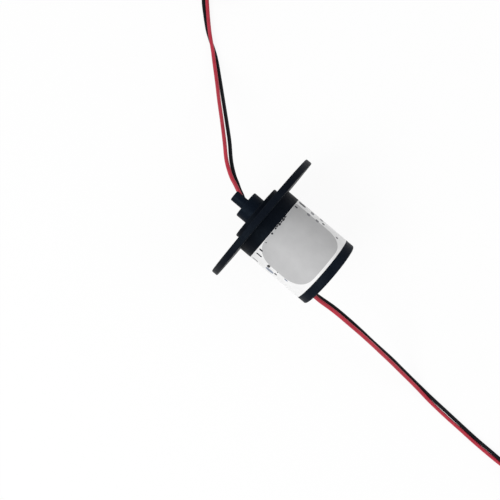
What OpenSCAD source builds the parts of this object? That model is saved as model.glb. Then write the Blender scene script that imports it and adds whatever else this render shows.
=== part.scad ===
// Capsule slip ring with a mounting flange: a rotary electrical joint with two circuits.
// +X runs along the rotation axis, from the rotor's neck to the rear cap, and +Z is up.
// The origin is the centre of the flange's rear face, on the axis. Millimetres.

/* [Housing] */
// Diameter of the barrel, measured over its label
body_d = 22; // [20:0.1:26]
// Length from the flange's rear face to the rear face of the cap
body_l = 25.2; // [24.8:0.1:32]
// Wall of the barrel
wall = 1.3; // [1:0.1:1.4]
// Diameter of the mounting flange
flange_d = 43; // [42:0.5:50]
// Thickness of the mounting flange
flange_t = 2; // [1.6:0.1:2.4]
// Length of the bare collar between the flange and the label
collar_l = 3.9; // [2.5:0.1:7]
// Diameter of the bearing nose in front of the flange
nose_d = 17.7; // [17:0.1:20]
// Height of the bearing nose in front of the flange
nose_l = 1.5; // [1.3:0.05:2]
// Thickness of the lip that keeps the front bearing in
lip_t = 1; // [0.8:0.05:1.1]
// Diameter of the opening in the lip
lip_open_d = 12.8; // [12:0.1:13.6]
// Thickness of the label
label_t = 0.1; // [0.05:0.01:0.15]
// Width of the butt seam of the label
label_seam = 0.3; // [0.1:0.1:1]

/* [Mounting holes] */
// Diameter of the bolt circle
bolt_circle_d = 35; // [33:0.5:35.5]
// Diameter of each bolt hole
bolt_hole_d = 5.5; // [3:0.1:5.5]
// Number of bolt holes
bolt_count = 3; // [3:1:6]

/* [Rear cap] */
// Thickness of the cap's disc
cap_t = 3; // [2.2:0.1:3.4]
// Length of the spigot that centres the cap in the barrel
spigot_l = 2.5; // [1.5:0.1:3]
// Wall of the spigot
spigot_wall = 1; // [0.8:0.1:1.1]
// Radius of the rounding round the cap's rear edge
cap_round = 0.5; // [0.2:0.1:1]
// Diameter of the hole for the stator leads
lead_hole_d = 2.8; // [2.7:0.05:2.9]
// Distance of that hole's middle from the inside of the spigot
lead_hole_in = 1.2; // [1:0.05:1.3]

/* [Bearings] */
// Bore of the front bearing
front_bore_d = 10; // [9.5:0.1:10.4]
// Outside diameter of the front bearing
front_od = 15; // [14.8:0.1:15.4]
// Width of the front bearing
front_w = 3; // [2.6:0.1:3.4]
// Diameter of the balls in the front bearing
front_ball_d = 1.3; // [1:0.05:1.4]
// Number of balls in the front bearing
front_balls_n = 14; // [8:1:16]
// Radial height of the rear bearing, from its bore to its outside
rear_section = 2; // [1.9:0.05:2.1]
// Width of the rear bearing
rear_w = 3; // [2.4:0.1:3.2]
// Diameter of the balls in the rear bearing
rear_ball_d = 1; // [0.8:0.05:1.1]
// Number of balls in the rear bearing
rear_balls_n = 12; // [7:1:13]
// Wall of a ball cage
cage_wall = 0.4; // [0.3:0.05:0.6]

/* [Rotor] */
// Diameter of the drive boss, where the turning side is clamped
drive_d = 8.5; // [7.5:0.1:9]
// Length of the drive boss in front of the bearing nose
drive_l = 3.75; // [3:0.25:8]
// Diameter of the neck that guides the rotor leads
neck_d = 3.75; // [3.6:0.05:4.5]
// Length of the neck
neck_l = 4.2; // [3:0.1:5]
// Diameter of the wire bore through the rotor
bore_d = 2.6; // [2.5:0.05:2.8]
// Diameter of the shoulder behind the front bearing
shoulder_d = 11.2; // [10.8:0.1:11.4]
// Length of that shoulder
shoulder_l = 1.4; // [1:0.1:1.8]
// Step in radius from the core under the rings down to the rear journal
journal_step = 0.5; // [0.4:0.05:0.7]
// Diameter of the windows that lead a wire out to each ring
window_d = 1.4; // [1:0.1:1.6]

/* [Rings and brushes] */
// Height of a barrier's rim above the contact rings
barrier_step = 1; // [0.8:0.05:1.2]
// Radial thickness of a contact ring
ring_wall = 1.7; // [1.5:0.05:1.8]
// Width of a contact ring
ring_w = 3.8; // [3.4:0.1:4]
// Depth of the two V grooves in each ring
groove_depth = 0.5; // [0.3:0.05:0.6]
// Width of a barrier
barrier_w = 2; // [1.6:0.1:2.2]
// Diameter of the brush wire
brush_d = 0.5; // [0.4:0.05:0.55]
// Reach of the brush legs past the axis
brush_reach = 1.6; // [0.5:0.1:3]
// Share of the barrel's inside radius that the brush holder takes up behind the board
holder_share = 0.22; // [0.21:0.005:0.23]
// Thickness of the brush board
board_t = 0.8; // [0.6:0.1:1]
// Width of the board outside each brush leg
board_margin = 0.15; // [0.1:0.05:0.25]
// Thickness of the copper on the brush board
copper_t = 0.1; // [0.05:0.01:0.15]
// Thickness of the retaining ring behind the stack
clip_t = 0.8; // [0.6:0.05:0.9]

/* [Leads] */
// Diameter of a lead over its insulation
lead_d = 1.2; // [1:0.05:1.22]
// Diameter of the stranded conductor in a lead
conductor_d = 0.6; // [0.4:0.05:0.7]
// Centre radius of the outermost turn of a coiled pair of leads
coil_r = 7.7; // [7.2:0.1:8.4]

/* [Fits] */
// Clearance between parts that are dropped in and glued
fit_gap = 0.1; // [0.05:0.01:0.15]
// Running clearance between a ball and its races
ball_gap = 0.05; // [0.03:0.01:0.08]
// Clearance between a brush and the flanks of its groove
brush_gap = 0.05; // [0.03:0.01:0.08]
// Clearance between the rotor's stack and the copper on the board
stack_gap = 0.31; // [0.2:0.01:0.4]

/* [Hidden] */
$fn = 96;

// Stations along the axis
nose_x = -flange_t - nose_l;                    // front face of the bearing nose
front_x = nose_x + lip_t;                       // front face of the front bearing
shoulder_x = front_x + front_w;                 // its rear face, where the rotor's shoulder starts
stack_x = shoulder_x + shoulder_l;              // start of the stack of barriers and rings
stack_pitch = barrier_w + ring_w;
clip_x = stack_x + 2 * stack_pitch + barrier_w; // start of the retaining ring
cap_x = body_l - cap_t;                         // front face of the cap's disc
rear_x = cap_x - rear_w;                        // front face of the rear bearing
drive_x = nose_x - drive_l;                     // front face of the drive boss
neck_x = drive_x - neck_l;                      // tip of the neck
step_clear = 0.5;                               // rotor's shoulder to the step of the cavity
cavity_x = stack_x - step_clear;                // start of the wide cavity

// Radii and heights, each taken inwards from the barrel
cavity_r = body_d / 2 - label_t - wall;
spigot_r = cavity_r - fit_gap;                  // outside of the cap's spigot and of the brush holder
holder_y = spigot_r * (1 - holder_share);       // distance from the axis to the holder's flat
board_y = holder_y - board_t;                   // to the board's inner face
copper_y = board_y - copper_t;                  // to the copper's face
barrier_r = copper_y - stack_gap;
ring_r = barrier_r - barrier_step;
core_r = ring_r - ring_wall;
journal_r = core_r - journal_step;
rear_or = journal_r + rear_section;             // outside radius of the rear bearing
lead_hole_off = spigot_r - spigot_wall - lead_hole_in;
front_pitch_r = (front_bore_d + front_od) / 4;
rear_pitch_r = (journal_r + rear_or) / 2;
clip_groove_r = core_r - 0.4;                   // bottom of the retaining ring's groove
hub_wall = 0.75;                                // of the bearing hub in the cap
hub_lead = 0.2;                                 // the hub starts this much ahead of its bearing
journal_end = 0.2;                              // the rear journal ends this far inside the cap
relief_depth = 0.7;                             // of the recess behind the rear journal
relief_edge = 1;                                // radial width of that recess beyond the journal
edge_break = 0.2;                               // small chamfer on turned and moulded edges

// Brushes: each leg runs in a V groove whose flanks stand at 45 degrees
groove_half_w = groove_depth;
brush_leg_z = ring_r - groove_depth + brush_d / 2 * sqrt(2) + brush_gap;
brush_spread = 0.9;                             // from the ring's middle to each groove
brush_bend = 0.8;                               // size of a brush wire's two corners
film = 0.03;                                    // solder under a wire on the copper
brush_base_y = copper_y - film - brush_d / 2;
solder_d = 1.3;                                 // foot of a solder cone
solder_h = 0.45;
ring_mid = [for (i = [0, 1]) stack_x + barrier_w + ring_w / 2 + i * stack_pitch];

// Brush board
board_w = 2 * (brush_leg_z + brush_d / 2 + board_margin);
board_x0 = cavity_x + 0.8;
board_x1 = rear_x - 0.6;
pad_l = 1.6;                                    // solder pads for the leads
pad_w = 1;
pad_edge = 0.3;                                 // from the board's end to a pad
track_w = 0.8;
track_z = board_w / 2 - track_w;                // middle of the long track to ring 1

// Rotor leads: red above the axis and black below it, bared a little before their ring's window
rotor_lead_z = lead_d / 2;
tail_l = 1.1;

// Stator leads: the pair leaves through one hole, red above black
lead_inner_x = rear_x + 1;                      // where the insulation ends inside
pair_z = [0.6, -0.65];                          // height of red and black at the exits
pair_y = [-lead_hole_off - 0.3, -lead_hole_off + 0.3];

// Routes of the free leads. The first points hold the lead inside the part.
rotor_red_route = concat(
    [[ring_mid[0] - tail_l, 0, rotor_lead_z], [drive_x + 2, 0, rotor_lead_z], [drive_x - 0.5, 0.2, 0.6],
     [drive_x - 2.5, 0.9, 0.6], [neck_x, 1.6, 0.6]],
    [[-13, 2.3, 0.6], [-16, 3.6, 0.3], [-20, 6.3, -1], [-24.5, 10.5, -4], [-29.5, 15, -8],
     [-35, 19.8, -12.5], [-40.5, 24.8, -16.6], [-46, 29.7, -19.2], [-48.5, 32, -19.7],
     [-51, 34.1, -19.7], [-53.5, 36.3, -19.8], [-57, 39.7, -20], [-60.5, 43.3, -20.2],
     [-63, 46, -20], [-66, 49, -19.7]]
);
rotor_black_route = concat(
    [[ring_mid[1] - tail_l, 0, -rotor_lead_z], [drive_x + 2, 0, -rotor_lead_z], [drive_x - 0.5, 0.4, -0.6],
     [drive_x - 2.5, 1.4, -0.6], [neck_x, 2.2, -0.7]],
    [[-13, 3.1, -0.9], [-15.5, 4.5, -1.2], [-19, 7.2, -2.5], [-23.5, 11.6, -5.4],
     [-29, 16.4, -9.8], [-34.5, 21.1, -14.3], [-40, 25.8, -18.2], [-45.5, 30.4, -20.6],
     [-48.5, 32.5, -20.9], [-51.5, 34.3, -20.9], [-54.5, 36.3, -20.9], [-58, 39.3, -20.9],
     [-61.5, 42.6, -20.9], [-64, 46, -20.9], [-66, 49, -20.9]]
);
stator_red_route = concat(
    [[lead_inner_x, pair_y[0], pair_z[0]], [body_l, pair_y[0], pair_z[0]]],
    [[28, -7.6, 0.6], [32, -7.3, 0.4], [35.5, -7.2, -0.2], [39.5, -7.2, -1.4], [44, -7.2, -3.4],
     [49, -7.3, -6.1], [54, -7.5, -9.2], [59, -7.7, -12.3], [64, -8, -15.2], [69, -8.3, -17.7],
     [74, -8.7, -19.6], [79, -9.2, -20.7], [86, -9.6, -20.9], [93, -9.8, -20.9],
     [99.5, -10, -20.9], [106, -10, -20.9], [111, -9.8, -20.9], [115, -9.2, -20.9]]
);
stator_black_route = concat(
    [[lead_inner_x, pair_y[1], pair_z[1]], [body_l, pair_y[1], pair_z[1]]],
    [[28, -6.8, -0.7], [32, -6.4, -1], [35.5, -6.3, -1.7], [39.5, -6.3, -3], [44, -6.4, -5.1],
     [49, -6.6, -7.8], [54, -6.7, -10.8], [59, -6.8, -13.8], [64, -7.1, -16.6], [69, -7.4, -18.9],
     [74, -7.7, -20.4], [79, -8, -20.9], [86, -8.3, -20.9], [93, -8.6, -20.9],
     [99.5, -8.8, -20.9], [106, -8.8, -20.8], [111, -8.9, -20.1], [115, -9.2, -19.7]]
);
ground_z = -21.5;                               // what the leads lie on, level with the flange's rim
rotor_coil_at = [-60.5, 54.5];
stator_coil_at = [115, -1.5];
lead_step = 0.05;                               // slack between neighbouring turns
turns_deep = 2.25;                              // turns of each layer, counted inwards
coil_in_r = coil_r - turns_deep * (lead_d + lead_step);

// Helpers

// Turns a profile of [radius, x] points round the axis
module turned(profile) {
    rotate([0, 90, 0]) rotate_extrude() polygon(profile);
}

// A ring from x0 to x1, its outer edges broken by c
module band(x0, x1, r_in, r_out, c = 0) {
    turned([[r_in, x0], [r_out - c, x0], [r_out, x0 + c],
            [r_out, x1 - c], [r_out - c, x1], [r_in, x1]]);
}

// A rod along the axis direction, at height offsets y and z
module rod(x0, x1, r, y = 0, z = 0) {
    translate([x0, y, z]) rotate([0, 90, 0]) cylinder(h = x1 - x0, r = r);
}

// Extrudes a shape drawn in the YZ plane from x0 to x1
module along_x(x0, x1) {
    translate([x0, 0, 0]) rotate([90, 0, 90]) linear_extrude(x1 - x0) children();
}

// A round wire along a list of points, with a round joint at each point after the first
module wire(points, r) {
    for (i = [1:len(points) - 1]) {
        d = points[i] - points[i - 1];
        translate(points[i - 1]) rotate([0, acos(d.z / norm(d)), atan2(d.y, d.x)])
            cylinder(h = norm(d), r = r);
        translate(points[i]) sphere(r);
    }
}

// A cone of solder that stands on the copper at x, z
module solder(x, z) {
    translate([x, -copper_y, z]) rotate([-90, 0, 0])
        cylinder(h = solder_h, r1 = solder_d / 2, r2 = solder_d / 4);
}

// A tube swept along a list of points, drawn with eight flat sides
function unit(v) = v / norm(v);
function heading(p, i) = unit(p[min(i + 1, len(p) - 1)] - p[max(i - 1, 0)]);
function side_of(t) = unit(cross(t, [0, 0, 1]));
module swept(route, r, sides = 8) {
    rings = [
        for (i = [0:len(route) - 1])
            let (t = heading(route, i), a = side_of(t), b = cross(a, t))
            for (k = [0:sides - 1])
                route[i] + r * (cos(360 * k / sides) * a + sin(360 * k / sides) * b)
    ];
    walls = [
        for (i = [0:len(route) - 2], k = [0:sides - 1])
            let (n = (k + 1) % sides, low = i * sides, high = low + sides)
            [low + k, low + n, high + n, high + k]
    ];
    start = [for (k = [sides - 1:-1:0]) k];
    end = [for (k = [0:sides - 1]) (len(route) - 1) * sides + k];
    polyhedron(points = rings, faces = concat([start], walls, [end]), convexity = 10);
}

// Stator

// One moulding: nose, flange, collar and barrel, stepped inside for the bearing and the brushes
module housing() {
    seat_r = front_od / 2;
    lip_r = lip_open_d / 2;
    nose_r = nose_d / 2;
    flange_r = flange_d / 2;
    barrel_r = body_d / 2;
    color([0.1, 0.1, 0.13]) difference() {
        turned([
            [lip_r, nose_x], [nose_r - edge_break, nose_x], [nose_r, nose_x + edge_break],
            [nose_r, -flange_t], [flange_r - edge_break, -flange_t],
            [flange_r, -flange_t + edge_break], [flange_r, -edge_break], [flange_r - edge_break, 0],
            [barrel_r, 0], [barrel_r, collar_l], [barrel_r - label_t, collar_l],
            [barrel_r - label_t, cap_x], [cavity_r, cap_x], [cavity_r, cavity_x],
            [seat_r, cavity_x], [seat_r, front_x], [lip_r, front_x]
        ]);
        for (i = [0:bolt_count - 1])
            rotate([360 * i / bolt_count, 0, 0])
                rod(-flange_t - 1, 1, bolt_hole_d / 2, 0, bolt_circle_d / 2);
    }
}

// A printed sheet round the barrel, with its butt seam underneath
module label() {
    color([0.9, 0.9, 0.9]) difference() {
        band(collar_l, cap_x, body_d / 2 - label_t, body_d / 2);
        translate([collar_l - 1, -label_seam / 2, -body_d / 2 - 1])
            cube([cap_x - collar_l + 2, label_seam, 3]);
    }
}

// The cap: rounded disc, centring spigot, hub for the rear bearing and the hole for the leads
module rear_cap() {
    r = body_d / 2;
    hub_r = rear_or + hub_wall;
    relief_r = journal_r + relief_edge;
    color([0.08, 0.08, 0.11]) difference() {
        union() {
            rotate([0, 90, 0]) rotate_extrude() {
                translate([0, cap_x]) square([r, cap_t - cap_round]);
                translate([0, cap_x]) square([r - cap_round, cap_t]);
                translate([r - cap_round, body_l - cap_round]) circle(cap_round);
            }
            band(cap_x - spigot_l, cap_x, spigot_r - spigot_wall, spigot_r, edge_break);
            band(rear_x - hub_lead, cap_x, rear_or, hub_r, edge_break);
        }
        rod(cap_x - 1, cap_x + relief_depth, relief_r);
        rod(cap_x - 0.01, body_l + 1, lead_hole_d / 2, -lead_hole_off, 0);
    }
}

// Bearing pieces, shared by both bearings

module race(x0, w, r_in, r_out, pitch_r, ball_r) {
    color([0.75, 0.76, 0.78]) difference() {
        band(x0, x0 + w, r_in, r_out);
        rotate([0, 90, 0]) translate([0, 0, x0 + w / 2])
            rotate_extrude() translate([pitch_r, 0]) circle(ball_r + ball_gap);
    }
}

// The land of a race stops short of the ball's centre by this share of the ball's radius
land = 0.75;

module outer_race(x0, w, r_out, pitch_r, ball_r) {
    race(x0, w, pitch_r + land * ball_r, r_out, pitch_r, ball_r);
}

module inner_race(x0, w, r_in, pitch_r, ball_r) {
    race(x0, w, r_in, pitch_r - land * ball_r, pitch_r, ball_r);
}

module ball_set(x_mid, pitch_r, ball_r, n, grow = 0) {
    for (i = [0:n - 1])
        rotate([360 * i / n, 0, 0]) translate([x_mid, 0, pitch_r]) sphere(ball_r + grow, $fn = 24);
}

// A machined cage: a thin band with one spherical pocket for each ball
module cage(x_mid, pitch_r, ball_r, n) {
    half_w = ball_r + 0.3;
    color([0.72, 0.55, 0.25]) difference() {
        band(x_mid - half_w, x_mid + half_w, pitch_r - cage_wall / 2, pitch_r + cage_wall / 2);
        ball_set(x_mid, pitch_r, ball_r, n, ball_gap);
    }
}

module front_outer_race() outer_race(front_x, front_w, front_od / 2, front_pitch_r, front_ball_d / 2);
module front_inner_race()
    inner_race(front_x, front_w, front_bore_d / 2, front_pitch_r, front_ball_d / 2);
module front_balls() color([0.85, 0.86, 0.88])
    ball_set(front_x + front_w / 2, front_pitch_r, front_ball_d / 2, front_balls_n);
module front_cage() cage(front_x + front_w / 2, front_pitch_r, front_ball_d / 2, front_balls_n);

module rear_outer_race() outer_race(rear_x, rear_w, rear_or, rear_pitch_r, rear_ball_d / 2);
module rear_inner_race() inner_race(rear_x, rear_w, journal_r, rear_pitch_r, rear_ball_d / 2);
module rear_balls() color([0.85, 0.86, 0.88])
    ball_set(rear_x + rear_w / 2, rear_pitch_r, rear_ball_d / 2, rear_balls_n);
module rear_cage() cage(rear_x + rear_w / 2, rear_pitch_r, rear_ball_d / 2, rear_balls_n);

// A moulded carrier that fills the barrel behind the board and holds it between two rails
module brush_holder() {
    rail_y = board_y - fit_gap;
    rail_w = 0.8;
    slot_w = board_w + 2 * fit_gap;
    color([0.16, 0.16, 0.18]) along_x(cavity_x + fit_gap, board_x1)
        difference() {
            intersection() {
                circle(spigot_r);
                translate([-cavity_r, -slot_w / 2 - rail_w])
                    square([cavity_r - rail_y, slot_w + 2 * rail_w]);
            }
            translate([-holder_y, -slot_w / 2]) square([holder_y, slot_w]);
        }
}

module brush_board() {
    color([0.1, 0.4, 0.2]) translate([board_x0, -holder_y, -board_w / 2])
        cube([board_x1 - board_x0, board_t, board_w]);
}

// A flat copper rectangle on the board's inner face
module copper(x0, x1, z0, z1) {
    translate([x0, -board_y, z0]) cube([x1 - x0, copper_t, z1 - z0]);
}

// Two tracks: each joins the pad under one ring's brushes to the solder pad of its lead
module board_tracks() {
    pad_x = board_x1 - pad_l - pad_edge;
    brush_half_l = brush_spread + brush_d;
    brush_half_z = brush_leg_z - brush_bend;
    color([0.8, 0.6, 0.3]) {
        union() {
            copper(ring_mid[0] - brush_half_l, ring_mid[0] + brush_half_l, -brush_half_z,
                   track_z + track_w / 2);
            copper(ring_mid[0], pad_x + pad_l, track_z - track_w / 2, track_z + track_w / 2);
            copper(pad_x, pad_x + pad_l, pair_z[0] - pad_w / 2, track_z + track_w / 2);
        }
        union() {
            copper(ring_mid[1] - brush_half_l, ring_mid[1] + brush_half_l, -brush_half_z,
                   brush_half_z - track_w);
            copper(ring_mid[1], pad_x + pad_l, pair_z[1] - pad_w / 2, pair_z[1] + pad_w / 2);
        }
    }
}

// A wire bent to a U: its base is soldered to the board and its legs run in one groove of a ring
module brush_wire(x) {
    corner_z = brush_leg_z - brush_bend;
    leg_y = -brush_base_y + brush_bend;
    wire([
        [x, brush_reach, -brush_leg_z], [x, leg_y, -brush_leg_z], [x, -brush_base_y, -corner_z],
        [x, -brush_base_y, corner_z], [x, leg_y, brush_leg_z], [x, brush_reach, brush_leg_z]
    ], brush_d / 2);
    for (s = [-1, 1]) solder(x, s * (corner_z - solder_d));
}

// The two brush wires of one ring
module brushes(i) {
    color([0.9, 0.75, 0.35])
        for (s = [-1, 1]) brush_wire(ring_mid[i] + s * brush_spread);
}

module brushes_1() brushes(0);
module brushes_2() brushes(1);

// The stripped end of a stator lead, cranked round the board's edge on to its pad
module stator_tail(i) {
    r = conductor_d / 2;
    y = -copper_y + film + r;
    z = pair_z[i];
    bend_x = board_x1 + 0.5;
    pad_end = board_x1 - pad_edge - pad_l / 2;
    color([0.8, 0.8, 0.82])
        wire([[lead_inner_x, pair_y[i], z], [bend_x, pair_y[i], z], [bend_x, y, z], [pad_end, y, z]], r);
}

module stator_tail_red() stator_tail(0);
module stator_tail_black() stator_tail(1);

// Rotor

// One moulding: trough-shaped neck, drive boss, journals and the core under the rings
module rotor_shaft() {
    color([0.12, 0.12, 0.15]) difference() {
        turned([
            [0, neck_x], [neck_d / 2 - edge_break, neck_x], [neck_d / 2, neck_x + edge_break],
            [neck_d / 2, drive_x], [drive_d / 2 - edge_break, drive_x],
            [drive_d / 2, drive_x + edge_break], [drive_d / 2, front_x], [front_bore_d / 2, front_x],
            [front_bore_d / 2, shoulder_x], [shoulder_d / 2, shoulder_x], [shoulder_d / 2, stack_x],
            [core_r, stack_x], [core_r, clip_x], [clip_groove_r, clip_x],
            [clip_groove_r, clip_x + clip_t], [core_r, clip_x + clip_t], [core_r, rear_x],
            [journal_r, rear_x], [journal_r, cap_x + journal_end], [0, cap_x + journal_end]
        ]);
        rod(neck_x - 1, ring_mid[1] + window_d / 2, bore_d / 2);
        translate([neck_x - 1, 0, -bore_d / 2]) cube([neck_l + 1, neck_d, bore_d]);
        for (i = [0, 1]) translate([ring_mid[i], 0, 0]) rotate([180 * i, 0, 0])
            cylinder(h = core_r + 1, r = window_d / 2);
    }
}

// A turned ring with two V grooves
module contact_ring(i) {
    x0 = ring_mid[i] - ring_w / 2;
    color([0.9, 0.72, 0.3]) turned(concat(
        [[core_r, x0], [ring_r, x0]],
        [for (g = [-1, 1], p = [-1, 0, 1])
            [ring_r - (p == 0 ? groove_depth : 0),
             ring_mid[i] + g * brush_spread + p * groove_half_w]],
        [[ring_r, x0 + ring_w], [core_r, x0 + ring_w]]
    ));
}

module contact_ring_1() contact_ring(0);
module contact_ring_2() contact_ring(1);

// An insulating washer beside and between the rings
module barrier(i) {
    x0 = stack_x + i * stack_pitch;
    color([0.75, 0.72, 0.62]) band(x0, x0 + barrier_w, core_r, barrier_r, edge_break);
}

module barrier_front() barrier(0);
module barrier_middle() barrier(1);
module barrier_rear() barrier(2);

// A spring-steel retaining ring, open at the top, with two eyes for pliers
module retaining_ring() {
    out_r = core_r + 0.9;
    eye_at = 24;
    eye_r = 0.75;
    opening = 1.4;
    color([0.35, 0.35, 0.37]) along_x(clip_x, clip_x + clip_t) difference() {
        union() {
            circle(out_r);
            for (s = [-1, 1]) rotate(90 + s * eye_at) translate([out_r, 0]) circle(eye_r);
        }
        circle(clip_groove_r);
        for (s = [-1, 1]) rotate(90 + s * eye_at) translate([out_r, 0]) circle(eye_r / 2);
        translate([-opening / 2, 0]) square([opening, out_r + 2]);
    }
}

// The stripped end of a rotor lead, bent out through its window and soldered under its ring
module rotor_tail(i) {
    s = i == 0 ? 1 : -1;
    r = conductor_d / 2;
    z = s * rotor_lead_z;
    x = ring_mid[i];
    foot_r = window_d / 2 - 0.1;
    foot = 0.5;
    top = s * (sqrt(pow(core_r, 2) - pow(foot_r, 2)) - foot);
    color([0.8, 0.8, 0.82]) {
        wire([[x - tail_l, 0, z], [x, 0, z], [x, 0, top]], r);
        translate([x, 0, top]) rotate([90 - 90 * s, 0, 0])
            cylinder(h = foot, r1 = r, r2 = foot_r);
    }
}

module rotor_tail_red() rotor_tail(0);
module rotor_tail_black() rotor_tail(1);

// Free leads

module rotor_lead_red() color([0.67, 0.19, 0.25]) swept(rotor_red_route, lead_d / 2);
module rotor_lead_black() color([0.1, 0.1, 0.12]) swept(rotor_black_route, lead_d / 2);
module stator_lead_red() color([0.67, 0.19, 0.25]) swept(stator_red_route, lead_d / 2);
module stator_lead_black() color([0.1, 0.1, 0.12]) swept(stator_black_route, lead_d / 2);

// The outer shape of a pair of leads wound in two layers, flat on the surface
module coil(at) {
    color([0.4, 0.15, 0.18]) translate([at[0], at[1], ground_z]) rotate_extrude()
        translate([coil_in_r - lead_d / 2, 0])
            square([coil_r - coil_in_r + lead_d, 4 * lead_d + lead_step]);
}

module rotor_coil() coil(rotor_coil_at);
module stator_coil() coil(stator_coil_at);

housing();
label();
rear_cap();
front_outer_race();
front_inner_race();
front_balls();
front_cage();
rear_outer_race();
rear_inner_race();
rear_balls();
rear_cage();
brush_holder();
brush_board();
board_tracks();
brushes_1();
brushes_2();
stator_tail_red();
stator_tail_black();
rotor_shaft();
contact_ring_1();
contact_ring_2();
barrier_front();
barrier_middle();
barrier_rear();
retaining_ring();
rotor_tail_red();
rotor_tail_black();
rotor_lead_red();
rotor_lead_black();
rotor_coil();
stator_lead_red();
stator_lead_black();
stator_coil();
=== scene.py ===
"""The looks of a slip ring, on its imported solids.

X is the rotation axis: the rotor's leads leave towards -X and the stator's towards +X. Z is up, and
the origin is the middle of the flange's rear face. The part's sizes are in millimetres, and MM
turns them into Blender's metres. Colours are linear.
"""

import math

import bmesh
import bpy
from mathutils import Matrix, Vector


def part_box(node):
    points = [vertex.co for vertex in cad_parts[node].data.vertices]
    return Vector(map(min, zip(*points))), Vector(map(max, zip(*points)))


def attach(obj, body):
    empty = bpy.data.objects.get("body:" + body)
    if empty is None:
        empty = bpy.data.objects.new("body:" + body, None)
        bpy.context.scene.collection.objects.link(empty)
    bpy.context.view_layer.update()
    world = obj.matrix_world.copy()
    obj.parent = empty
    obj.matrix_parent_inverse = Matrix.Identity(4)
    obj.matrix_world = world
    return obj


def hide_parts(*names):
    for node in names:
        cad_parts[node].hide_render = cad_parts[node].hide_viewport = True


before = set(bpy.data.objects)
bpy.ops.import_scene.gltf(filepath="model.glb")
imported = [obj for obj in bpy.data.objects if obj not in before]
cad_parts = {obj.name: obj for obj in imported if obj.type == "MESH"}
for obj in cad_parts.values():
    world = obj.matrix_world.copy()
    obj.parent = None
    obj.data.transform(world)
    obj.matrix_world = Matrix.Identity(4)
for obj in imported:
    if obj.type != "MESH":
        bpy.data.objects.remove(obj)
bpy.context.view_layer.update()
scene = bpy.context.scene
MM = 0.001


def link(obj):
    """Puts an object in the scene."""
    scene.collection.objects.link(obj)
    return obj


def smooth_object(name, bm, material):
    """An object of the mesh in bm, smooth, with its faces turned outwards."""
    bmesh.ops.recalc_face_normals(bm, faces=bm.faces)
    mesh = bpy.data.meshes.new(name)
    bm.to_mesh(mesh)
    bm.free()
    for face in mesh.polygons:
        face.use_smooth = True
    mesh.materials.append(material)
    return link(bpy.data.objects.new(name, mesh))


# ---------------------------------------------------------------- camera

# Straight above the part, turned so that the axis runs from upper left to lower right, in metres
camera_data = bpy.data.cameras.new("camera")
camera_data.sensor_width = 36
camera_data.lens = 48.8
camera_data.clip_start = 0.01
camera_data.clip_end = 20
camera = link(bpy.data.objects.new("camera", camera_data))
camera.location = (0.00255, -0.0095, 0.200)
camera.rotation_euler = (0, 0, math.radians(40.3))
scene.camera = camera


# ---------------------------------------------------------------- material nodes


class Nodes:
    """The node tree of the world, or of a material."""

    def __init__(self, tree):
        self.tree = tree

    def fill(self, node, inputs):
        """Sets each input of a node to a value, or joins it to another node's output."""
        for name, value in inputs.items():
            if isinstance(value, bpy.types.NodeSocket):
                self.tree.links.new(value, node.inputs[name])
            else:
                node.inputs[name].default_value = value

    def add(self, kind, inputs=None, **settings):
        """A new node with these inputs and settings."""
        node = self.tree.nodes.new("ShaderNode" + kind)
        for name, value in settings.items():
            setattr(node, name, value)
        self.fill(node, inputs or {})
        return node

    def reckon(self, operation, *values):
        """The result of a Math node."""
        return self.add("Math", dict(enumerate(values)), operation=operation).outputs[0]

    def seen_by(self, *rays):
        """1 for the rays of these kinds, and 0 for all others."""
        path = self.add("LightPath")
        seen = path.outputs[f"Is {rays[0]} Ray"]
        for ray in rays[1:]:
            seen = self.reckon("MAXIMUM", seen, path.outputs[f"Is {ray} Ray"])
        return seen


class Finish(Nodes):
    """A material with one Principled shader."""

    def __init__(self, name):
        self.material = bpy.data.materials.new(name)
        self.material.use_nodes = True
        super().__init__(self.material.node_tree)
        self.tree.nodes.clear()
        self.shader = self.add("BsdfPrincipled")
        self.out = self.add("OutputMaterial", {"Surface": self.shader.outputs[0]})

    def shade(self, **inputs):
        """Sets the shader's inputs, whose names are written with _ for a space."""
        self.fill(self.shader, {name.replace("_", " "): value for name, value in inputs.items()})

    def position(self):
        return self.add("TexCoord").outputs["Object"]

    def turned_position(self):
        """The position as (x, distance from the axis, 0), for marks left by turning."""
        split = self.add("SeparateXYZ", {0: self.position()}).outputs
        across = self.add("CombineXYZ", {"Y": split["Y"], "Z": split["Z"]}).outputs[0]
        radius = self.add("VectorMath", {0: across}, operation="LENGTH").outputs["Value"]
        return self.add("CombineXYZ", {"X": split["X"], "Y": radius}).outputs[0]

    def noise(self, where, scale, detail=3):
        """Noise from 0 to 1, of about scale patches a metre."""
        inputs = {"Vector": where, "Scale": scale, "Detail": detail, "Roughness": 0.55}
        return self.add("TexNoise", inputs).outputs[0]

    def spread(self, noise, low, high):
        """Noise as a number from low to high."""
        ends = {"From Min": 0.3, "From Max": 0.7, "To Min": low, "To Max": high}
        return self.add("MapRange", {"Value": noise, **ends}).outputs[0]

    def blend(self, noise, dark, light, start=0.35, end=0.65):
        """Noise as a colour: dark up to start, light from end on."""
        node = self.add("ValToRGB", {0: noise})
        for stop, place, colour in zip(node.color_ramp.elements, (start, end), (dark, light)):
            stop.position = place
            stop.color = (*colour, 1)
        return node.outputs[0]

    def bump(self, height, strength, distance):
        inputs = {"Height": height, "Strength": strength, "Distance": distance}
        return self.add("Bump", inputs).outputs[0]


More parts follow.
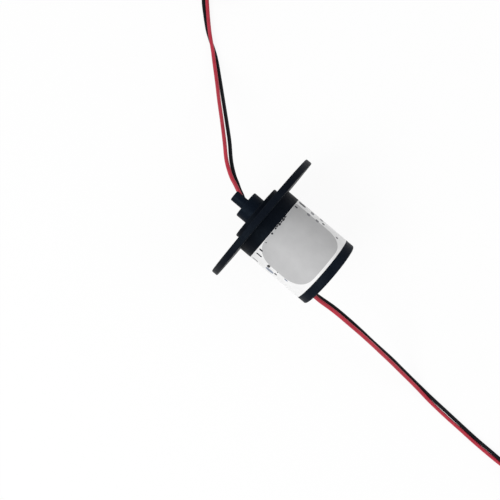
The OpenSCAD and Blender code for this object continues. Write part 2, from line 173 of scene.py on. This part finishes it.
def moulded(name, dark, light, specular=0.2, tint=(1, 1, 1)):
    """Moulded plastic: a fine spark-eroded grain, softly mottled, with slightly uneven gloss."""
    finish = Finish(name)
    where = finish.position()
    grain = finish.noise(where, scale=3800, detail=4)
    patches = finish.reckon("MULTIPLY", finish.noise(where, scale=260), 0.3)
    mottle = finish.reckon("MULTIPLY_ADD", grain, 0.7, patches)
    finish.shade(
        Base_Color=finish.blend(mottle, dark, light, start=0.38, end=0.62),
        Roughness=finish.spread(finish.noise(where, scale=900), 0.40, 0.55),
        Normal=finish.bump(grain, strength=0.4, distance=2e-5),
        Specular_IOR_Level=specular,
        Specular_Tint=(*tint, 1),
    )
    return finish.material


def turned_metal(name, dark, light, rough):
    """Metal with fine marks that run round the axis."""
    finish = Finish(name)
    where = finish.turned_position()
    marks = finish.noise(where, scale=9000, detail=2)
    finish.shade(
        Base_Color=finish.blend(marks, dark, light),
        Roughness=finish.spread(finish.noise(where, scale=5400, detail=2), *rough),
        Normal=finish.bump(marks, strength=0.3, distance=4e-6),
        Metallic=1.0,
    )
    return finish.material


def plain_metal(name, dark, light, rough=(0.2, 0.35)):
    """Drawn, rolled or tinned metal, with a fine even grain."""
    finish = Finish(name)
    where = finish.position()
    grain = finish.noise(where, scale=5000)
    finish.shade(
        Base_Color=finish.blend(finish.noise(where, scale=2500), dark, light),
        Roughness=finish.spread(grain, *rough),
        Normal=finish.bump(grain, strength=0.25, distance=5e-6),
        Metallic=1.0,
    )
    return finish.material


def insulation(name, dark, light, specular):
    """Extruded PVC: smooth, with a slightly wavy skin."""
    finish = Finish(name)
    where = finish.position()
    finish.shade(
        Base_Color=finish.blend(finish.noise(where, scale=420), dark, light),
        Roughness=finish.spread(finish.noise(where, scale=1500), 0.3, 0.42),
        Normal=finish.bump(finish.noise(where, scale=1100), strength=0.3, distance=2e-5),
        Specular_IOR_Level=specular,
    )
    return finish.material


def laminate(name, dark, light):
    """Glass-cloth board under resist, whose weave shows a little."""
    finish = Finish(name)
    where = finish.position()
    warp, weft = (
        finish.add(
            "TexWave", {"Vector": where, "Scale": 900, "Distortion": 0.4},
            wave_type="BANDS", bands_direction=direction,
        ).outputs["Fac"]
        for direction in ("X", "Z")
    )
    weave = finish.reckon("MULTIPLY", warp, weft)
    finish.shade(
        Base_Color=finish.blend(weave, dark, light, start=0.1, end=0.9),
        Roughness=finish.spread(finish.noise(where, scale=1800), 0.25, 0.4),
        Normal=finish.bump(weave, strength=0.3, distance=1e-5),
    )
    return finish.material


def film(name, dark, light, rough=(0.32, 0.42), specular=0.4):
    """Plastic film or the ink on it, with a faint orange-peel skin."""
    finish = Finish(name)
    where = finish.position()
    finish.shade(
        Base_Color=finish.blend(finish.noise(where, scale=350), dark, light),
        Roughness=finish.spread(finish.noise(where, scale=700), *rough),
        Normal=finish.bump(finish.noise(where, scale=1600), strength=0.2, distance=1e-5),
        Specular_IOR_Level=specular,
    )
    return finish.material


# ---------------------------------------------------------------- finish of each solid

COOL = (0.62, 0.84, 1.0)  # the black plastics reflect a little blue

black_plastic = moulded(
    "black_plastic", (0.0010, 0.0018, 0.0042), (0.0042, 0.0058, 0.0100), specular=0.05, tint=COOL)
# The cap's own black, with a painted bluish sheen in its colour: lighter and bluer than the
# housing's
cap_plastic_and_sheen = moulded(
    "cap_plastic_and_sheen", (0.0014, 0.0026, 0.0058), (0.0052, 0.0076, 0.0138), specular=0.055, tint=COOL)
# The rotor's own black, with a painted bluish sheen in its colour: lighter and bluer than the
# housing's
rotor_plastic_and_sheen = moulded(
    "rotor_plastic_and_sheen", (0.0014, 0.0030, 0.0068), (0.0052, 0.0088, 0.0170), specular=0.055, tint=COOL)
holder_plastic = moulded("holder_plastic", (0.018, 0.018, 0.021), (0.028, 0.028, 0.032))
barrier_plastic = moulded("barrier_plastic", (0.52, 0.48, 0.36), (0.60, 0.56, 0.43), specular=0.4)
tie_nylon = moulded("tie_nylon", (0.62, 0.62, 0.60), (0.70, 0.70, 0.68), specular=0.4)

label_film = film("label_film", (0.79, 0.79, 0.79), (0.83, 0.83, 0.83), specular=0.3)
field_ink = film(
    "field_ink", (0.465, 0.465, 0.47), (0.49, 0.49, 0.495), rough=(0.4, 0.5), specular=0.25)
dark_ink = film("dark_ink", (0.008, 0.009, 0.014), (0.025, 0.027, 0.034), specular=0.2)
grey_ink = film("grey_ink", (0.09, 0.09, 0.10), (0.20, 0.20, 0.22))
blue_ink = film("blue_ink", (0.15, 0.18, 0.25), (0.26, 0.30, 0.38))

race_steel = turned_metal("race_steel", (0.50, 0.51, 0.53), (0.64, 0.65, 0.67), rough=(0.16, 0.3))
cage_brass = turned_metal("cage_brass", (0.48, 0.32, 0.11), (0.60, 0.42, 0.17), rough=(0.25, 0.4))
ring_alloy = turned_metal("ring_alloy", (0.72, 0.50, 0.17), (0.86, 0.64, 0.27), rough=(0.12, 0.22))
ball_steel = plain_metal("ball_steel", (0.68, 0.69, 0.71), (0.76, 0.77, 0.79), rough=(0.06, 0.12))
brush_alloy = plain_metal("brush_alloy", (0.74, 0.52, 0.19), (0.84, 0.62, 0.27))
track_copper = plain_metal("track_copper", (0.62, 0.31, 0.15), (0.74, 0.41, 0.22))
tinned_copper = plain_metal("tinned_copper", (0.58, 0.58, 0.59), (0.70, 0.70, 0.70))
spring_steel = plain_metal(
    "spring_steel", (0.07, 0.06, 0.055), (0.13, 0.115, 0.10), rough=(0.3, 0.45))

board_laminate = laminate("board_laminate", (0.012, 0.10, 0.035), (0.03, 0.17, 0.06))
red_insulation = insulation(
    "red_insulation", (0.38, 0.016, 0.036), (0.45, 0.023, 0.046), specular=0.3)
black_insulation = insulation(
    "black_insulation", (0.0035, 0.0042, 0.0062), (0.0065, 0.0075, 0.0100), specular=0.07)

FINISHES = {
    "housing": black_plastic,
    "label": label_film,
    "rear_cap": cap_plastic_and_sheen,
    "front_outer_race": race_steel, "front_inner_race": race_steel,
    "front_balls": ball_steel, "front_cage": cage_brass,
    "rear_outer_race": race_steel, "rear_inner_race": race_steel,
    "rear_balls": ball_steel, "rear_cage": cage_brass,
    "brush_holder": holder_plastic, "brush_board": board_laminate, "board_tracks": track_copper,
    "brushes_1": brush_alloy, "brushes_2": brush_alloy,
    "stator_tail_red": tinned_copper, "stator_tail_black": tinned_copper,
    "rotor_shaft": rotor_plastic_and_sheen,
    "contact_ring_1": ring_alloy, "contact_ring_2": ring_alloy,
    "barrier_front": barrier_plastic, "barrier_middle": barrier_plastic,
    "barrier_rear": barrier_plastic,
    "retaining_ring": spring_steel,
    "rotor_tail_red": tinned_copper, "rotor_tail_black": tinned_copper,
    "rotor_lead_red": red_insulation, "rotor_lead_black": black_insulation,
    "rotor_coil": black_insulation,
    "stator_lead_red": red_insulation, "stator_lead_black": black_insulation,
    "stator_coil": black_insulation,
}
for name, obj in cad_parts.items():
    obj.data.materials.clear()
    obj.data.materials.append(FINISHES[name])


# ---------------------------------------------------------------- leads: sizes and routes

LEAD_D = 1.2                            # over the insulation
CONDUCTOR_D = 0.6                       # over the strands
STRIPPED = 5                            # bare length at the far end
TUCKED = 1                              # length of the strands inside the insulation
STRAND_LAY = 7                          # length in which the strands turn once
GROUND = -21.5                          # height of what the leads lie on

COIL_R = 7.7                            # middle of the outermost turn
TURN_GAP = 0.05                         # between neighbouring turns
TURN_STEP = LEAD_D + TURN_GAP           # from turn to turn
LAYER_STEP = 2 * LEAD_D + TURN_GAP      # from layer to layer, as each holds one lead on the other
LAYER_TURNS = 2.25                      # turns in a layer
CLIMB_TURNS = 0.5                       # turns in which a lead climbs to the upper layer
TURNS = {"red": 4.0, "black": 4.08}     # turns of each lead in its coil

ROUTE_CUTS = 14                         # straight bits from point to point of a route
TURN_CUTS = 48                          # straight bits of a turn
STRAND_CUTS = 24                        # straight bits of a bare strand

# Each side's coil: its middle, where round it the leads join, which way they are wound seen from
# above (1 is anticlockwise, -1 clockwise), and where the tie sits
COILS = {
    "rotor": {"centre": (-60.5, 54.5), "start_deg": 225, "way": -1, "tie_deg": 120},
    "stator": {"centre": (115, -1.5), "start_deg": 270, "way": 1, "tie_deg": 60},
}

# Where the leads run until they join their coil, through the same points as their solids
ROUTES = {
    "rotor": {
        "red": [
            (4.7, 0, 0.6), (-5.25, 0, 0.6), (-7.75, 0.2, 0.6), (-9.75, 0.9, 0.6),
            (-11.45, 1.6, 0.6), (-13, 2.3, 0.6), (-16, 3.6, 0.3), (-20, 6.3, -1),
            (-24.5, 10.5, -4), (-29.5, 15, -8), (-35, 19.8, -12.5), (-40.5, 24.8, -16.6),
            (-46, 29.7, -19.2), (-48.5, 32, -19.7), (-51, 34.1, -19.7), (-53.5, 36.3, -19.8),
            (-57, 39.7, -20), (-60.5, 43.3, -20.2), (-63, 46, -20), (-66, 49, -19.7),
        ],
        "black": [
            (10.5, 0, -0.6), (-5.25, 0, -0.6), (-7.75, 0.4, -0.6), (-9.75, 1.4, -0.6),
            (-11.45, 2.2, -0.7), (-13, 3.1, -0.9), (-15.5, 4.5, -1.2), (-19, 7.2, -2.5),
            (-23.5, 11.6, -5.4), (-29, 16.4, -9.8), (-34.5, 21.1, -14.3), (-40, 25.8, -18.2),
            (-45.5, 30.4, -20.6), (-48.5, 32.5, -20.9), (-51.5, 34.3, -20.9), (-54.5, 36.3, -20.9),
            (-58, 39.3, -20.9), (-61.5, 42.6, -20.9), (-64, 46, -20.9), (-66, 49, -20.9),
        ],
    },
    "stator": {
        "red": [
            (20.2, -7.6, 0.6), (25.2, -7.6, 0.6), (28, -7.6, 0.6), (32, -7.3, 0.4),
            (35.5, -7.2, -0.2), (39.5, -7.2, -1.4), (44, -7.2, -3.4), (49, -7.3, -6.1),
            (54, -7.5, -9.2), (59, -7.7, -12.3), (64, -8, -15.2), (69, -8.3, -17.7),
            (74, -8.7, -19.6), (79, -9.2, -20.7), (86, -9.6, -20.9), (93, -9.8, -20.9),
            (99.5, -10, -20.9), (106, -10, -20.9), (111, -9.8, -20.9), (115, -9.2, -20.9),
        ],
        "black": [
            (20.2, -7, -0.65), (25.2, -7, -0.65), (28, -6.8, -0.7), (32, -6.4, -1),
            (35.5, -6.3, -1.7), (39.5, -6.3, -3), (44, -6.4, -5.1), (49, -6.6, -7.8),
            (54, -6.7, -10.8), (59, -6.8, -13.8), (64, -7.1, -16.6), (69, -7.4, -18.9),
            (74, -7.7, -20.4), (79, -8, -20.9), (86, -8.3, -20.9), (93, -8.6, -20.9),
            (99.5, -8.8, -20.9), (106, -8.8, -20.8), (111, -8.9, -20.1), (115, -9.2, -19.7),
        ],
    },
}


# ---------------------------------------------------------------- leads: making them


def smooth_route(route):
    """A Catmull-Rom line through the points of a route."""
    points = [Vector(p) for p in route]
    points = [2 * points[0] - points[1]] + points + [2 * points[-1] - points[-2]]
    line = []
    for a, b, c, d in zip(points, points[1:], points[2:], points[3:]):
        for k in range(ROUTE_CUTS):
            t = k / ROUTE_CUTS
            line.append(
                0.5 * (2 * b + (c - a) * t + (2 * a - 5 * b + 4 * c - d) * t**2
                       + (3 * b - a - 3 * c + d) * t**3)
            )
    return line + [points[-2]]


def coil_line(coil, low_z, turns):
    """Turns wound inwards on one level, then outwards on the level above."""
    line = []
    for k in range(1, round(turns * TURN_CUTS) + 1):
        turn = k / TURN_CUTS
        inwards = turn if turn <= LAYER_TURNS else 2 * LAYER_TURNS - turn
        r = COIL_R - TURN_STEP * inwards
        # The lead is halfway up at the innermost turn
        climb = min(max((turn - LAYER_TURNS) / CLIMB_TURNS + 0.5, 0), 1)
        lift = climb * climb * (3 - 2 * climb) * LAYER_STEP
        angle = math.radians(coil["start_deg"]) + coil["way"] * 2 * math.pi * turn
        x, y = coil["centre"]
        line.append(Vector((x + r * math.cos(angle), y + r * math.sin(angle), low_z + lift)))
    return line


def wires(name, lines, diameter, material, roundness):
    """Round wires, one along each line."""
    data = bpy.data.curves.new(name, "CURVE")
    data.dimensions = "3D"
    data.bevel_depth = diameter / 2 * MM
    data.bevel_resolution = roundness
    data.use_fill_caps = True
    for line in lines:
        spline = data.splines.new("POLY")
        spline.points.add(len(line) - 1)
        for point, place in zip(spline.points, line):
            point.co = (*(size * MM for size in place), 1)
    data.materials.append(material)
    return link(bpy.data.objects.new(name, data))


def strands(name, end, ahead):
    """The stripped end of a lead: six strands twisted round a seventh."""
    across = ahead.cross(Vector((0, 0, 1))).normalized()
    up = across.cross(ahead)
    outer = 6
    lines = []
    for k in range(outer + 1):
        off_centre = CONDUCTOR_D / 3 if k < outer else 0
        line = []
        for i in range(STRAND_CUTS + 1):
            along = STRIPPED * i / STRAND_CUTS
            angle = 2 * math.pi * (k / outer + along / STRAND_LAY)
            back = TUCKED if i == 0 else 0
            line.append(end + ahead * (along - back)
                        + (across * math.cos(angle) + up * math.sin(angle)) * off_centre)
        lines.append(line)
    return wires(name, lines, CONDUCTOR_D / 3, tinned_copper, roundness=2)


def lead(side, colour, turns, material, also_replaces=()):
    """One lead, from its soldered end along its route and round its turns to its stripped end."""
    name = f"{side}_lead_{colour}"
    route = ROUTES[side][colour]
    line = smooth_route(route) + turns
    cord = wires(f"{name}_dressed", [line], LEAD_D, material, roundness=4)
    tip = strands(f"{name}_dressed_stripped", line[-1], (line[-1] - line[-2]).normalized())
    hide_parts(name, *also_replaces)
    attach(cord, side)
    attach(tip, side)


# ---------------------------------------------------------------- leads: ties round the coils

BAND_THICK = 0.35
BAND_HALF_W = 0.9
BAND_SIDES = 56
BAND_LIFT = 0.12                        # from the ground to the band's inside
TIE_EDGE = 0.09                         # rounding of the edges

# Blocks on the band: from and to, outwards from it, then half width, then from and to, upwards
# from the ground
TIE_HEAD = (-0.45, 1.15, 1.35, 0.25, 2.35)
TIE_TAIL = (0.2, 0.55, 0.9, 2.2, 3.5)


def crossings(line, centre, out, along):
    """Where a coil's turns cross the plane through its centre, as (radius, height)."""
    places = [p - Vector((*centre, 0)) for p in line]
    found = []
    for here, there in zip(places, places[1:]):
        before, after = here.dot(along), there.dot(along)
        if (before < 0) != (after < 0) and here.dot(out) > 0:
            at = here.lerp(there, before / (before - after))
            found.append((at.dot(out), at.z))
    return found


def tight_loop(turns, thick, lowest):
    """A loop pulled tight round turns that lie at (radius, height), thick millimetres off them."""
    reach = LEAD_D / 2 + thick
    loop = []
    for k in range(BAND_SIDES):
        angle = 2 * math.pi * k / BAND_SIDES
        out, up = math.cos(angle), math.sin(angle)
        r, z = max(turns, key=lambda turn: turn[0] * out + turn[1] * up)
        loop.append((r + reach * out, max(z + reach * up, GROUND + lowest)))
    return loop


def tie(side, coil, lines):
    """A nylon tie pulled tight round all the turns of a coil, with its head and cut tail."""
    centre = coil["centre"]
    angle = math.radians(coil["tie_deg"])
    out = Vector((math.cos(angle), math.sin(angle), 0))
    along = Vector((-math.sin(angle), math.cos(angle), 0))
    turns = [at for line in lines for at in crossings(line, centre, out, along)]
    bm = bmesh.new()

    def row(across, loop):
        places = (Vector((*centre, z)) + out * r + along * across for r, z in loop)
        return [bm.verts.new(place * MM) for place in places]

    def join(near, far):
        for k in range(len(near)):
            n = (k + 1) % len(near)
            bm.faces.new((near[k], near[n], far[n], far[k]))

    inner = tight_loop(turns, 0, BAND_LIFT)
    outer = tight_loop(turns, BAND_THICK, 0)
    rows = [row(-BAND_HALF_W, inner), row(-BAND_HALF_W, outer),
            row(BAND_HALF_W, outer), row(BAND_HALF_W, inner)]
    for near, far in zip(rows, rows[1:] + rows[:1]):
        join(near, far)

    edge = max(r for r, _ in outer)
    for off0, off1, half_w, up0, up1 in (TIE_HEAD, TIE_TAIL):
        r0, r1 = edge + off0, edge + off1
        z0, z1 = GROUND + up0, GROUND + up1
        block = [(r0, z0), (r0, z1), (r1, z1), (r1, z0)]
        near, far = row(-half_w, block), row(half_w, block)
        join(near, far)
        bm.faces.new(near[::-1])
        bm.faces.new(far)

    obj = smooth_object(f"{side}_coil_tie", bm, tie_nylon)
    bevel = obj.modifiers.new("edges", "BEVEL")
    bevel.width = TIE_EDGE * MM
    bevel.segments = 2
    bevel.limit_method = "ANGLE"
    bevel.angle_limit = math.radians(50)
    bevel.harden_normals = True
    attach(obj, side)
    return obj


coil_lines = {
    side: {
        colour: coil_line(coil, ROUTES[side][colour][-1][2], turns)
        for colour, turns in TURNS.items()
    }
    for side, coil in COILS.items()
}
ties = {side: tie(side, coil, coil_lines[side].values()) for side, coil in COILS.items()}
for side, lines in coil_lines.items():
    lead(side, "red", lines["red"], red_insulation,
         also_replaces=[f"{side}_coil"])
    lead(side, "black", lines["black"], black_insulation)


# ---------------------------------------------------------------- print on the label

LABEL_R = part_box("label")[1].z / MM     # outside the label
FIELD_H = 0.012                         # height of the field's ink
MARK_H = 0.03                           # height of the marks' ink, which lies over the field's
INK_SUNK = 0.005                        # depth of both in the film
CURVE_STEP = 0.5                        # from cut to cut round the barrel
CUT_SLACK = 1e-6                        # a point this near a cut lies on it

# The field, along the axis and in degrees from the top, with its corner radii
FIELD_X = (3.98, 21.4)
FIELD_DEG = (-57, 57.5)
FIELD_CORNERS = (5.6, 0.9, 6.6, 6.8)
FIELD_CORNER_CUTS = 16

# Generic marks with no lettering, each dash as (from x, to x, degrees, width)
DARK_DASHES = [
    (4.35, 5.55, -43, 0.5), (4.5, 6.4, -54, 0.5), (4.15, 5.2, 49, 0.6), (4.4, 6.9, 69.5, 1.6),
    (9.2, 10.1, -60.8, 1.5), (12.2, 13.2, -66, 0.7),
    (3.93, 4.35, -1.5, 0.6), (3.93, 4.25, 2.5, 0.8), (3.93, 4.55, 7, 0.8),
    (3.93, 4.35, 11.5, 0.7), (3.93, 4.5, 16, 0.9), (3.93, 4.3, 21, 0.9),
]
DARK_DOTS = [(12.7, -58, 0.18), (4.65, -27, 0.18), (4.3, -10.5, 0.3)]  # (x, degrees, radius)
BLUE_DASHES = [(9.3, 12.1, -70, 1.5), (15.4, 16.6, -58.8, 0.4)]
GREY_DASHES = [
    (4.5, 6.5, -75, 0.6), (8.2, 9.4, 55, 1.2), (8.9, 10.1, 69, 1.9), (11.3, 12.4, 57.5, 1.1),
    (12.3, 13.4, 74, 1.9), (13.4, 14.3, 63.5, 1.0), (18.9, 19.7, 57, 0.7),
]
DASH_ROUND = 0.48                       # corner radius, as a share of the shorter side
DASH_CORNER_CUTS = 5


def rounded_outline(x0, x1, deg0, deg1, radii, cuts):
    """A rounded rectangle as points (along the axis, round the barrel). radii are its corners at
    (x1, deg1), (x0, deg1), (x0, deg0) and (x1, deg0)."""
    s0, s1 = math.radians(deg0) * LABEL_R, math.radians(deg1) * LABEL_R
    corners = ((x1, s1, -1, -1), (x0, s1, 1, -1), (x0, s0, 1, 1), (x1, s0, -1, 1))
    outline = []
    for quarter, ((x, s, x_way, s_way), r) in enumerate(zip(corners, radii)):
        mid_x, mid_s = x + x_way * r, s + s_way * r
        for k in range(cuts + 1):
            angle = math.radians(90 * quarter + 90 * k / cuts)
            outline.append((mid_x + r * math.cos(angle), mid_s + r * math.sin(angle)))
    return outline


def dash(x0, x1, deg, width):
    """The outline of a mark with round ends."""
    half = math.degrees(width / 2 / LABEL_R)
    r = min(width, x1 - x0) * DASH_ROUND
    return rounded_outline(x0, x1, deg - half, deg + half, (r,) * 4, DASH_CORNER_CUTS)


def dot(x, deg, radius):
    return dash(x - radius, x + radius, deg, 2 * radius)


def cut_across(outline, cuts):
    """The outline, with one more point wherever a side crosses a cut."""
    rim = []
    for (x0, s0), (x1, s1) in zip(outline, outline[1:] + outline[:1]):
        rim.append((x0, s0))
        crossed = [s for s in cuts if min(s0, s1) + CUT_SLACK < s < max(s0, s1) - CUT_SLACK]
        for s in sorted(crossed, reverse=s1 < s0):
            rim.append((x0 + (x1 - x0) * (s - s0) / (s1 - s0), s))
    return rim


def print_on_label(name, outlines, ink, height):
    """Thin patches of one ink on the label, each inside a convex outline. Cuts along the axis
    divide them into strips, which follow the barrel."""
    low = min(s for outline in outlines for _, s in outline)
    high = max(s for outline in outlines for _, s in outline)
    cuts = [low + k * CURVE_STEP for k in range(1, int((high - low) / CURVE_STEP) + 1)]
    bm = bmesh.new()

    def wrapped(rim, r):
        return [
            bm.verts.new(Vector((x, r * math.sin(s / LABEL_R), r * math.cos(s / LABEL_R))) * MM)
            for x, s in rim
        ]

    for outline in outlines:
        rim = cut_across(outline, cuts)
        under = wrapped(rim, LABEL_R - INK_SUNK)
        top = wrapped(rim, LABEL_R - INK_SUNK + height)
        for k in range(len(rim)):
            bm.faces.new((under[k - 1], under[k], top[k], top[k - 1]))
        for strip_low, strip_high in zip([low] + cuts, cuts + [high]):
            strip = [k for k, (_, s) in enumerate(rim)
                     if strip_low - CUT_SLACK < s < strip_high + CUT_SLACK]
            if len(strip) > 2:
                bm.faces.new([top[k] for k in strip])
                bm.faces.new([under[k] for k in reversed(strip)])
    obj = smooth_object(name, bm, ink)
    obj.data.set_sharp_from_angle(angle=math.radians(40))
    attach(obj, "stator")


field = rounded_outline(*FIELD_X, *FIELD_DEG, FIELD_CORNERS, FIELD_CORNER_CUTS)
dark_marks = [dash(*mark) for mark in DARK_DASHES] + [dot(*mark) for mark in DARK_DOTS]
print_on_label("label_field", [field], field_ink, FIELD_H)
print_on_label("label_marks_dark", dark_marks, dark_ink, MARK_H)
print_on_label("label_marks_blue", [dash(*mark) for mark in BLUE_DASHES], blue_ink, MARK_H)
print_on_label("label_marks_grey", [dash(*mark) for mark in GREY_DASHES], grey_ink, MARK_H)


# ---------------------------------------------------------------- stage and light

# Lengths from here on are in metres
FLOOR_HALF = 1.5
GLOW_FROM, GLOW_TO = 0.12, 0.70         # distances between which the floor turns fully white
GLOW_NEAR, GLOW_FAR = 0.91, 1.0         # share of its look that is plain white at each
WORLD_LIGHT = 0.56                      # the world's strength where it lights the object


def floor_material():
    """Pale, keeping the object's shadow, and white further away, so that no horizon shows."""
    finish = Finish("floor_white")
    finish.shade(Base_Color=(0.9, 0.9, 0.9, 1), Roughness=0.85, Specular_IOR_Level=0.1)
    away = finish.add("VectorMath", {0: finish.position()}, operation="LENGTH").outputs["Value"]
    ends = {"From Min": GLOW_FROM, "From Max": GLOW_TO, "To Min": GLOW_NEAR, "To Max": GLOW_FAR}
    whiter = finish.add("MapRange", {"Value": away, **ends}, interpolation_type="SMOOTHSTEP")
    share = finish.reckon("MULTIPLY", finish.seen_by("Camera", "Glossy"), whiter.outputs[0])
    glow = finish.add("Emission", {"Strength": 1.0})
    mix = finish.add("MixShader", {0: share, 1: finish.shader.outputs[0], 2: glow.outputs[0]})
    finish.fill(finish.out, {"Surface": mix.outputs[0]})
    return finish.material


def soft_light(name, place, size, power):
    """A round lamp that faces the origin."""
    data = bpy.data.lights.new(name, "AREA")
    data.shape = "DISK"
    data.size = size
    data.energy = power
    obj = link(bpy.data.objects.new(name, data))
    obj.location = place
    obj.rotation_mode = "QUATERNION"
    obj.rotation_quaternion = (-Vector(place)).to_track_quat("-Z", "Y")


floor_corners = [
    (x * FLOOR_HALF, y * FLOOR_HALF, GROUND * MM) for x, y in ((-1, -1), (1, -1), (1, 1), (-1, 1))]
floor_mesh = bpy.data.meshes.new("floor")
floor_mesh.from_pydata(floor_corners, [], [(0, 1, 2, 3)])
floor_mesh.materials.append(floor_material())
link(bpy.data.objects.new("floor", floor_mesh))

# The world is white where it is seen, reflected or looked through, and softer as a light
world = bpy.data.worlds.new("studio")
world.use_nodes = True
scene.world = world
studio = Nodes(world.node_tree)
strength = studio.add("MapRange", {
    "Value": studio.seen_by("Camera", "Glossy", "Transmission"),
    "To Min": WORLD_LIGHT, "To Max": 1.0,
})
studio.fill(world.node_tree.nodes["Background"],
            {"Color": (1, 1, 1, 1), "Strength": strength.outputs[0]})

soft_light("key", place=(-0.08, -0.42, 0.48), size=0.40, power=2.3)
soft_light("fill", place=(0.25, 0.40, 0.50), size=0.50, power=0.8)

scene.view_settings.view_transform = "Standard"
